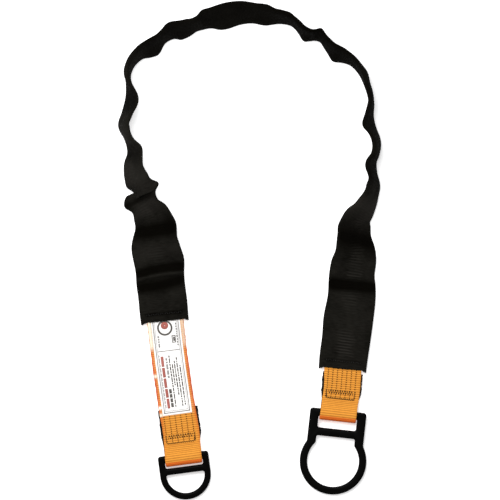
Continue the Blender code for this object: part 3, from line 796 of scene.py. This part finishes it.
def tack_dents(p, share, facing):
    """How far each line of tack stitches pulls the cloth down, and its shade."""
    lift, relief = np.zeros_like(p), np.zeros_like(p)
    for at, depth in ((SLEEVE_START, TACK_DEPTH["small"]), (SLEEVE_STOP, TACK_DEPTH["large"])):
        inside = np.abs(p - at) - TACK_FROM_MOUTH + 0.6 * MM * wobble(share, 0.12, 41)
        dent = hump(inside, 2.2 * MM) * facing * smooth(-np.abs(share), -0.85, -0.7)
        lift -= (depth + 0.45 * np.cos(share * 26)) * MM * dent
        relief -= depth * dent
    return lift, relief


def pleat(p, share, facing):
    """The pleat, a lip over a tuck: its moves along, up and sideways, and its shade."""
    past = p - PLEAT_AT - 1.2 * MM * share
    tip = smooth(share, 0.3, 1.0)
    tucked, lip = hump(past + 3 * MM, 3.5 * MM), hump(past - 3 * MM, 3.5 * MM)
    reach = PLEAT_REACH * (tucked - (1 + 0.15 * tip) * lip) * facing
    raised = smooth(past, -2 * MM, 2 * MM) * (1 - smooth(past, 4 * MM, 22 * MM))
    lobe = hump(past + 7 * MM, 5 * MM) * (1 - smooth(past, -3 * MM, 0))
    spread = (7 * MM * hump(past - 2.5 * MM, 5 * MM) * tip
              - 9 * MM * lobe * smooth(-share, 0.2, 1.0))
    shade = -hump(past + 8 * MM, 2.5 * MM) * facing
    return reach, PLEAT_HEIGHT * facing * raised, spread, shade


def sleeve_surface(p, angle):
    """Points on the sleeve's outside, and its shade: 1 on ridges and -1 in hollows.

    p is the distance along the route and angle the place round the flattened tube, as arrays
    that broadcast: 0 is the inner edge, a quarter turn is the middle of the front.
    """
    p, angle = np.broadcast_arrays(p, angle)
    share, swell = flattened(np.cos(angle)), flattened(np.sin(angle))
    facing = smooth(np.sin(angle), -0.35, 0.75)
    ribs = 0.5 + 0.5 * np.cos(2 * math.pi * p / SLEEVE_RIB)
    fold_lift, fold_shade = cross_folds(p, share, facing)
    dent_lift, dent_shade = tack_dents(p, share, facing)
    reach, pleat_lift, spread, pleat_shade = pleat(p, share, facing)
    slack = 0.35 * MM * facing * wobble(p + 6 * MM * share, 9 * MM, 21) * (1 - share ** 2)
    weave = SLEEVE_RELIEF * ribs * smooth(-np.abs(share), -0.6, -0.25) * np.sign(np.sin(angle))
    lift = fold_lift + slack - weave + dent_lift + pleat_lift
    shade = fold_shade + painted_rib_sheen(p, share, ribs) * facing + stretch_light_and_shade(p) + dent_shade + pleat_shade
    route = frames(p)
    points = (route.origin + route.across * (SLEEVE_WIDTH / 2 * share)[..., None]
              + route.front * (sleeve_thickness(p) / 2 * swell + lift)[..., None]
              + route.along * (reach + mouth_rim(p, share, angle))[..., None]
              + route.sideways * (bulge(p, share) + spread)[..., None])
    return points, np.clip(shade, -1, 1)


def sleeve_distances():
    """Rows along the sleeve: four to a rib, and closer in the pleat."""
    rows = even(SLEEVE_START, SLEEVE_STOP, SLEEVE_RIB / 4)
    closer = even(PLEAT_AT - 12 * MM, PLEAT_AT + 12 * MM, PLEAT_STEP)
    outside = rows[np.abs(rows - PLEAT_AT) > 12.3 * MM]
    return np.sort(np.concatenate([outside, closer]))


def make_sleeve():
    """The sleeve: an open tube, thickened inwards."""
    p = sleeve_distances()
    angle = np.linspace(0, 2 * math.pi, SLEEVE_COLUMNS, endpoint=False) + SLEEVE_FIRST_ANGLE
    # relief is the sleeve's painted light and shade, which its material turns into colour.
    points, relief = sleeve_surface(p[:, None], angle[None])
    across = SLEEVE_WIDTH / 2 * flattened(np.cos(angle))
    uv = np.stack(np.broadcast_arrays(p[:, None], across[None]), -1)
    faces = quads(len(p), len(angle), around=True)
    sleeve = mesh_object("wear_sleeve_cloth", points, faces, SLEEVE, uv, {"relief": relief})
    shell = sleeve.modifiers.new("wall", "SOLIDIFY")
    shell.thickness = SLEEVE_WALL
    shell.offset = -1
    return sleeve


# ---- label

def label_height(s):
    """Mid height of the webbing under the label, which ends inside the sleeve."""
    return np.where(s < SLEEVE_START, front_height(s, "small"), sleeve_thickness(s) / 2)


def label_points(s, across, lift):
    """Points over the front of the webbing at the label's end."""
    route = frames(s, label_height(s) + lift)
    return route.origin + route.across * np.asarray(across)[..., None]


def make_label_strip(name, start, stop, width, lift, thick, material, values=None):
    """A thin sheet on the webbing; values gives each point's own numbers, if it has any."""
    s = even(start, stop, LABEL_STEP)
    across = np.broadcast_to(strip_places(width, 15), (len(s), 15))
    return strip_object(name, s, label_height(s) + lift, across, thick, material, 0.0,
                        values(s, across) if values else None)


def film_values(s, across):
    """Milky glare in the film beside the label: near the sleeve's mouth, and in spots."""
    left = smooth(-across, 17.2 * MM, 18.4 * MM)
    right = smooth(across, 17.4 * MM, 18.4 * MM)
    near_mouth = smooth(s, *GLARE_FROM)[:, None]
    spots = sum(hump(s - at * MM, 1.8 * MM) for at in GLARE_SPOTS)[:, None]
    glare = (GLARE_LEFT * left + GLARE_RIGHT * right) * near_mouth + GLARE_LEFT * left * spots
    return {"glare": np.clip(glare, 0, 1)}


def patch(s0, s1, v0, v1):
    """A rectangle of print, as a grid of points over the label."""
    s = even(s0 * MM, s1 * MM, PRINT_STEP)
    grid_s, grid_v = np.meshgrid(s, np.array([v0, v1]) * MM, indexing="ij")
    return label_points(grid_s, grid_v, PRINT_LIFT), False


def ring_mark(s, v, outer, inner, steps=40):
    """A plain printed ring, as a grid of points round it."""
    turn = np.linspace(0, 2 * math.pi, steps, endpoint=False)
    radii = np.array([outer, inner])
    grid_s = (s + radii[:, None] * np.cos(turn)) * MM
    grid_v = (v + radii[:, None] * np.sin(turn)) * MM
    return label_points(grid_s, grid_v, PRINT_LIFT), True


def frame_of_print(s0, s1, v0, v1, line):
    """Four bars round a rectangle."""
    return [patch(s0, s1, v0, v0 + line), patch(s0, s1, v1 - line, v1),
            patch(s0, s0 + line, v0, v1), patch(s1 - line, s1, v0, v1)]


def print_line(s0, s1, v, high, shortest=2.0, longest=9.0, space=1.1):
    """A line of generic print: solid bars of uneven length."""
    bars, s = [], s0
    while s < s1 - shortest:
        long = min(rng.uniform(shortest, longest), s1 - s)
        bars.append(patch(s, s + long, v - high / 2, v + high / 2))
        s += long + space
    return bars


def make_print(name, grids, material):
    """All the print in one ink, thickened to stand out from the label."""
    made = grids_object(name, grids, material)
    shell = made.modifiers.new("ink", "SOLIDIFY")
    shell.thickness = PRINT_THICK
    shell.offset = 0
    return made


def label_print():
    """The generic print: border, lines of bars, a frame and a ring mark. No lettering."""
    top = SLEEVE_START / MM + 6
    grey = frame_of_print(55.2, top, -16.0, 16.0, 1.2)
    grey += frame_of_print(57.6, top, -13.9, 13.9, 0.5)
    grey += [patch(130.5, 131.5, -13.5, 13.5)]
    grey += print_line(98, 125, -4.2, 2.4) + print_line(136, 150, -10.6, 2.0, 1.5, 5)
    grey += print_line(62, 128, -12.6, 1.0, 1.5, 6)
    dark = [ring_mark(159, -1.5, 9.4, 7.2)] + print_line(62, 86, -4.6, 3.2, 3, 7, 0.8)
    for v, s0, s1 in ((-0.6, 62, 126), (2.2, 88, 114), (5.0, 76, 118), (8.0, 62, 122),
                      (11.2, 63, 112)):
        dark += print_line(s0, s1, v, 1.5, 1.5, 6.5, 0.8)
    dark += frame_of_print(140, 149, 5.6, 10.4, 1.0) + print_line(136, 164, 12.2, 1.3, 1.2, 4)
    dark += [patch(142, 147, 7.2, 9.2)]
    red = print_line(61, 125, -9.2, 3.4, 7, 14, 1.2) + [ring_mark(162, -1.5, 4.6, 0.4)]
    return grey, dark, red


# ---- rings

def arc(centre, radius, start, stop, steps):
    """Points on a circle whose centre is at (0, centre), between two angles in degrees."""
    angles = np.radians(np.linspace(start, stop, steps + 1))
    return [(radius * math.cos(a), centre + radius * math.sin(a)) for a in angles]


def rounded(corners, steps=8):
    """An outline through corners given as (x, y, radius), each corner rounded by its radius."""
    outline = []
    for i, (x, y, radius) in enumerate(corners):
        here = Vector((x, y))
        if radius == 0:
            outline.append((x, y))
            continue
        back = (Vector(corners[i - 1][:2]) - here).normalized()
        ahead = (Vector(corners[(i + 1) % len(corners)][:2]) - here).normalized()
        half = back.angle(ahead) / 2
        centre = here + (back + ahead).normalized() * radius / math.sin(half)
        first = here + back * radius / math.tan(half) - centre
        turn = first.angle_signed(here + ahead * radius / math.tan(half) - centre)
        for k in range(steps + 1):
            outline.append(tuple(centre + Matrix.Rotation(-turn * k / steps, 2) @ first))
    return outline


LARGE_ARC_CENTRE = -58.4 * MM
LARGE_RADIUS = 40.7 * MM
LARGE_HOLE_RADIUS = 31.5 * MM
SMALL_ARC_CENTRE = -21.0 * MM
SMALL_RADIUS = 31.0 * MM
SMALL_HOLE_RADIUS = 23.3 * MM


def neck_to_circle(half_width, radius, fillet, steps=8):
    """Fillet from a straight neck into a circle about the large ring's centre."""
    x = half_width + fillet
    y = LARGE_ARC_CENTRE + math.sqrt((radius + fillet) ** 2 - x ** 2)
    end = math.atan2(LARGE_ARC_CENTRE - y, -x)
    points = []
    for k in range(steps + 1):
        angle = -math.pi + (end + math.pi) * k / steps
        points.append((x + fillet * math.cos(angle), y + fillet * math.sin(angle)))
    return points, math.degrees(end + math.pi)


def open_box(half, top, low, radius):
    """The upper two corners of a box, rounded, from right to left; its lower side stays open."""
    corners = [(half, top, radius), (-half, top, radius), (-half, low, 0), (half, low, 0)]
    return rounded(corners)[:-2]


def slot_outline(half, low, near_radius, far_radius):
    """The slot for the strap, from the bar down to low."""
    return rounded([(half, -BAR_HALF, near_radius), (-half, -BAR_HALF, near_radius),
                    (-half, low, far_radius), (half, low, far_radius)])


def keyhole(half, radius, fillet, steps):
    """Out of a straight neck, round the large ring's circle, and back into the neck."""
    neck, turn = neck_to_circle(half, radius, fillet)
    other_side = [(-x, y) for x, y in neck]
    circle = arc(LARGE_ARC_CENTRE, radius, 180 - turn, 360 + turn, steps)
    return other_side[:-1] + circle + neck[::-1][1:]


def small_ring_outlines():
    """Outer edge, slot and eye of the small ring; the bar's middle is at y = 0."""
    outer = open_box(SMALL_RADIUS, BAR_HALF, SMALL_ARC_CENTRE, 3.2 * MM)
    outer += arc(SMALL_ARC_CENTRE, SMALL_RADIUS, 180, 360, 72)
    slot = slot_outline(23.0 * MM, -11.7 * MM, 1.5 * MM, 2.2 * MM)
    dip = 3.0 * MM
    turn = math.degrees(math.asin(dip / SMALL_HOLE_RADIUS))
    eye = open_box(SMALL_HOLE_RADIUS, -19.5 * MM, SMALL_ARC_CENTRE - dip, 2.5 * MM)
    eye += arc(SMALL_ARC_CENTRE, SMALL_HOLE_RADIUS, 180 + turn, 360 - turn, 60)
    return [outer, slot, eye]


def large_ring_outlines():
    """Outer edge, slot and keyhole of the large ring; the bar's middle is at y = 0."""
    outer = open_box(34.5 * MM, BAR_HALF, -20 * MM, 3.7 * MM)
    outer += keyhole(34.5 * MM, LARGE_RADIUS, 6 * MM, 110)
    slot = slot_outline(23.5 * MM, -19.0 * MM, 2.5 * MM, 2.5 * MM)
    hole = open_box(23.5 * MM, -28.8 * MM, -33 * MM, 2.2 * MM)
    hole += keyhole(23.5 * MM, LARGE_HOLE_RADIUS, 3 * MM, 90)
    return [outer, slot, hole]


def ring_mesh(name, outlines):
    """A flat plate between the outlines, with rounded edges."""
    curve = bpy.data.curves.new(name, "CURVE")
    curve.dimensions = "2D"
    curve.fill_mode = "BOTH"
    curve.extrude = PLATE_THICK / 2 - PLATE_ROUNDING
    curve.bevel_depth = PLATE_ROUNDING
    curve.bevel_resolution = 4
    curve.offset = -PLATE_ROUNDING
    for outline in outlines:
        spline = curve.splines.new("POLY")
        spline.points.add(len(outline) - 1)
        for point, (x, y) in zip(spline.points, outline):
            point.co = (x, y, 0, 1)
        spline.use_cyclic_u = True
    flat = add_object(name + "_outline", curve)
    bpy.context.view_layer.update()
    shaped = flat.evaluated_get(bpy.context.evaluated_depsgraph_get())
    mesh = bpy.data.meshes.new_from_object(shaped)
    bpy.data.objects.remove(flat)
    face_outwards(mesh, merge=0.05 * MM)
    return mesh


def make_ring(name, outlines, end, reach):
    """A ring hung on its bar in the strap's loop and resting on its far end, at reach from it."""
    mesh = ring_mesh(name, outlines)
    mesh.materials.clear()
    mesh.materials.append(STEEL)
    mesh.shade_smooth()
    ring = add_object(name, mesh)
    route = frames(np.array([route_distance(0.0, end)]), BAR_HEIGHT)
    heading = math.atan2(route.along[0, 1], route.along[0, 0]) - math.pi / 2
    if end == "large":
        heading += math.pi
    ring.location = route.origin[0]
    ring.rotation_euler = (math.asin((BAR_HEIGHT - PLATE_THICK / 2) / reach), 0, heading)
    return ring


# ---- stitches

STITCH_RADII = (0.3, 0.8, 1.0, 0.8, 0.3)
STITCH_SIDES = 6
ROWS = {"small": [-17.0, -10.2, -3.4, 3.4, 10.2, 17.0],
        "large": [-17.0, -11.3, -5.7, 0.0, 5.7, 11.3, 17.0]}
ROW_FAR = {"small": 52.0, "large": 66.0}
ROW_THREAD = 0.68 * MM
ROW_SINK = 0.15 * MM
BOX_NEAR, BOX_FAR, BOX_HALF = 18.8, 29.0, 17.0
BOX_CORNER = 1.5
BOX_PITCH = 2.6
BOX_THREAD = 0.45 * MM
ZIGZAG_NEAR, ZIGZAG_FAR = 23.5, 28.7
ZIGZAG_HALF = 15.0
ZIGZAG_TEETH = 21
TACK_STITCHES = 16
TACK_HALF = 0.75
TACK_WAVE = 1.2 * MM
TACK_LIFT = 0.2 * MM
TACK_THREAD = 0.42 * MM


def stitch(start, stop, normal, radius):
    """One stitch as a grid of points that closes round; its ends dip into the cloth."""
    direction = stop - start
    length = np.linalg.norm(direction)
    direction = direction / max(length, 1e-6)
    side = np.cross(direction, normal)
    rings = []
    for k, share in enumerate(STITCH_RADII):
        t = k / (len(STITCH_RADII) - 1)
        rise = radius * (2.0 * math.sin(math.pi * t) - 1.0)
        centre = start + direction * length * t + normal * rise
        turn = np.linspace(0, 2 * math.pi, STITCH_SIDES, endpoint=False)
        rings.append(centre + radius * share * (np.cos(turn)[:, None] * normal
                                                + np.sin(turn)[:, None] * side))
    return np.stack(rings), True


def along_line(a, b, pitch, cover):
    """Start and stop of each stitch on a line from a to b, as (u, across) in mm."""
    a, b = np.array(a, float), np.array(b, float)
    count = max(1, int(round(np.linalg.norm(b - a) / pitch)))
    for k in range(count):
        yield a + (b - a) * k / count, a + (b - a) * (k + cover) / count


def end_stitches(end, lines, pitch, cover, radius, sink=0.0):
    """Stitches on the front of a sewn end along lines given as pairs of (u, across) in mm."""
    made = []
    up = np.array([0.0, 0.0, 1.0])
    for a, b in lines:
        for start, stop in along_line(a, b, pitch, cover):
            ends = []
            for u, across in (start, stop):
                u_m = np.array([u * MM])
                height = front_height(u_m, end) + WEBBING_THICK / 2 + WEBBING_RELIEF - sink
                route = frames(route_distance(u_m, end), height)
                ends.append(route.origin[0] + route.across[0] * across * MM)
            made.append(stitch(ends[0], ends[1], up, radius))
    return made


def box_outline():
    """Two rounds of the box, the outer one a little larger, open on the far side."""
    lines = []
    for grow in (0.0, 0.9):
        near, half = BOX_NEAR - grow, BOX_HALF + grow
        inner, past = half - BOX_CORNER, near + BOX_CORNER
        lines += [((near, -inner), (near, inner)),
                  ((past, half), (BOX_FAR, half)), ((past, -half), (BOX_FAR, -half)),
                  ((near, inner), (past, half)), ((near, -inner), (past, -half))]
    return lines


def box_filling(end):
    """The rows inside the box, a bar at one corner, and the dense zigzag at the far side."""
    lines = [((BOX_FAR, v), (BOX_NEAR, v)) for v in ROWS[end][1:-1]]
    lines += [((BOX_NEAR + 1 + k, BOX_HALF - 1), (BOX_NEAR + 1 + k, BOX_HALF + 1))
              for k in range(4)]
    step = 2 * ZIGZAG_HALF / ZIGZAG_TEETH
    for k in range(ZIGZAG_TEETH):
        v = -ZIGZAG_HALF + step * k
        if k % 2:
            lines.append(((ZIGZAG_FAR, v), (ZIGZAG_NEAR, v + step)))
        else:
            lines.append(((ZIGZAG_NEAR, v), (ZIGZAG_FAR, v + step)))
    return lines


def make_end_stitching(end):
    """Lengthwise rows sunk between the ribs, then a box with a dense zigzag on top of the ribs."""
    rows = [((ROW_FAR[end], v), (BOX_FAR, v)) for v in ROWS[end]]
    sunk = end_stitches(end, rows, WEBBING_RIB / MM, 0.66, ROW_THREAD, ROW_SINK)
    top = end_stitches(end, box_outline() + box_filling(end), BOX_PITCH, 0.86, BOX_THREAD)
    return [grids_object(f"row_stitches_{end}", sunk, SUNK_THREAD, capped=True),
            grids_object(f"box_stitches_{end}", top, THREAD, capped=True)]


def make_tack(end):
    """The line of tack stitching across the sleeve's front, close to one mouth."""
    at = SLEEVE_START + TACK_FROM_MOUTH if end == "small" else SLEEVE_STOP - TACK_FROM_MOUTH
    shares = np.linspace(-TACK_HALF, TACK_HALF, TACK_STITCHES + 1)
    normal = frames(np.array([at])).front[0]
    made = []
    for k, (a, b) in enumerate(zip(shares, shares[1:])):
        wave = TACK_WAVE * (-1) ** k
        ends = np.array([a, a + 0.8 * (b - a)])
        angles = np.arccos(np.sign(ends) * np.abs(ends) ** (SECTION_POWER / 2))
        place = sleeve_surface(np.array([at - wave, at + wave]), angles)[0] + normal * TACK_LIFT
        made.append(stitch(place[0], place[1], normal, TACK_THREAD))
    return grids_object(f"tack_stitches_{end}", made, SLEEVE_THREAD, capped=True)


# ---- assembly

webbing = dress(make_webbing(), "strap", "orange_webbing", "core_webbing")
sleeve = dress(make_sleeve(), "strap", "sleeve_webbing", "wear_sleeve")
pads = {end: dress(make_pad(end), "strap", "black_webbing", f"wear_pad_{end}_ring")
        for end in ("small", "large")}

label = dress(make_label_strip("label_sheet", LABEL_FROM, LABEL_TO, LABEL_WIDTH, LABEL_LIFT,
                               LABEL_THICK, LABEL), "strap", "printed_label", "printed_label")
film = dress(make_label_strip("label_film", FILM_FROM, LABEL_TO, FILM_WIDTH, FILM_LIFT,
                              FILM_THICK, FILM, film_values), "strap", "clear_film",
             "label_cover_film")
for ink, grids in zip((PRINT_GREY, PRINT_DARK, PRINT_RED), label_print()):
    dress(make_print("label_" + ink.name, grids, ink), "strap", "printed_label")

for end in ("small", "large"):
    for piece in make_end_stitching(end):
        dress(piece, "strap", "black_thread", f"end_stitching_{end}_ring")
    dress(make_tack(end), "strap", "black_thread", f"sleeve_tack_{end}_ring")

dress(make_ring("small_ring_forging", small_ring_outlines(), "small",
                SMALL_RADIUS - SMALL_ARC_CENTRE), "small_ring", "black_steel", "small_d_ring")
dress(make_ring("large_ring_forging", large_ring_outlines(), "large",
                LARGE_RADIUS - LARGE_ARC_CENTRE), "large_ring", "black_steel", "large_pass_ring")


# ---- the strap's middle line at its standing height

line_s = even(0.0, ROUTE_LENGTH, 10 * MM)
line = frames(line_s, standing_height(line_s)).origin


# ---- floor and lights

FLOOR_HALF = 30.0
FLOOR_DROP = 0.4 * MM
FLOOR_GLOW = 0.45
KEY_PLACE = (-0.35, 0.55, 1.9)
KEY_SIZE = 1.2
KEY_POWER = 46.0
WORLD_STRENGTH = 0.42


def add_floor():
    """A white floor just under the strap, bright enough to vanish into the white background."""
    mesh = bpy.data.meshes.new("floor")
    corners = [(-1, -1), (1, -1), (1, 1), (-1, 1)]
    mesh.from_pydata([(x * FLOOR_HALF, y * FLOOR_HALF, 0) for x, y in corners], [], [(0, 1, 2, 3)])
    floor = add_object("floor", mesh)
    floor.location.z = -FLOOR_DROP
    light, dark = (0.95, 0.95, 0.95), (0.93, 0.93, 0.93)
    surface = plain_paint("floor", light, dark, 0.9, 0.05, 4.0, 0.1 * MM)
    shader = surface.node_tree.nodes["Principled BSDF"]
    shader.inputs["Emission Color"].default_value = (1.0, 1.0, 1.0, 1.0)
    shader.inputs["Emission Strength"].default_value = FLOOR_GLOW
    mesh.materials.append(surface)


def add_light(name, place, size, power):
    """A round area light that faces the middle of the floor."""
    data = bpy.data.lights.new(name, "AREA")
    data.shape = "DISK"
    data.size = size
    data.energy = power
    light = add_object(name, data)
    light.location = place
    light.rotation_euler = (-Vector(place)).to_track_quat("-Z", "Y").to_euler()


def add_world(strength):
    world = bpy.data.worlds.new("studio")
    world.use_nodes = True
    world.node_tree.nodes["Background"].inputs[0].default_value = (1.0, 1.0, 1.0, 1.0)
    world.node_tree.nodes["Background"].inputs[1].default_value = strength
    bpy.context.scene.world = world


add_floor()
add_light("key", KEY_PLACE, KEY_SIZE, KEY_POWER)
add_world(WORLD_STRENGTH)
bpy.context.scene.view_settings.view_transform = "Standard"
